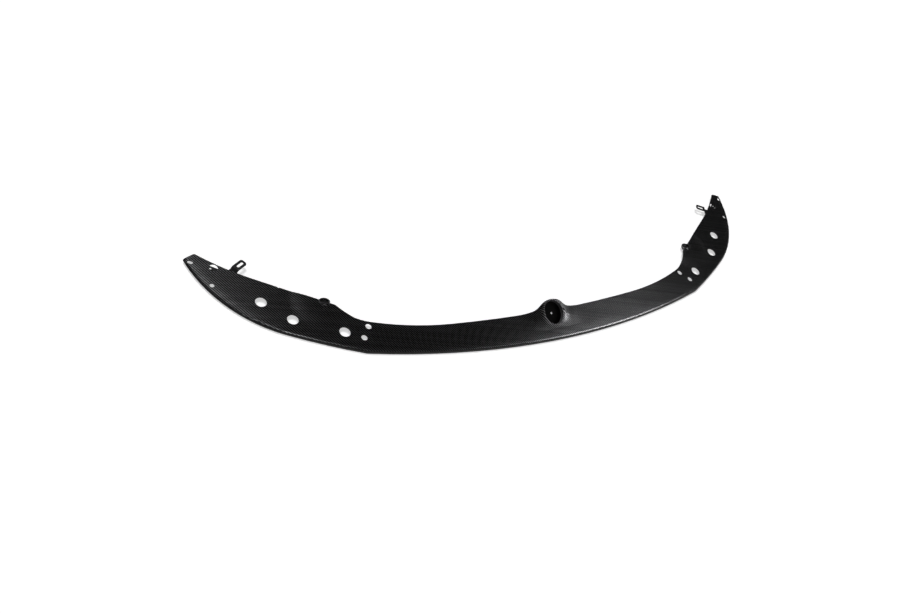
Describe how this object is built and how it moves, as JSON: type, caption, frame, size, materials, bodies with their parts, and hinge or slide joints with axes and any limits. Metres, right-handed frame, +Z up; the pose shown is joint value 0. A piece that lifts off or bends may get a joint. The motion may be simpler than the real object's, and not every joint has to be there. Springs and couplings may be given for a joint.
{
  "type": "front splitter lip",
  "caption": "Crescent front splitter lip of woven carbon laminate with a turned-down front rim, a middle hump with an oval screw pocket, clip holes in the wings and a slotted strap at each tip.",
  "frame": {"origin": "middle of the box round the part in plan, at the level of the front rim's lower edge", "axes": "+X across the lip to the right wing as seen from the front, +Y rearward, +Z up"},
  "size_m": [1.7478, 0.3932, 0.0401],
  "materials": {
    "carbon": "clear-coated black carbon twill",
    "strap": "satin black paint on steel"
  },
  "bodies": {
    "root": {"lip_panel": "carbon", "left_end_bracket": "strap", "right_end_bracket": "strap"}
  },
  "joints": []
}
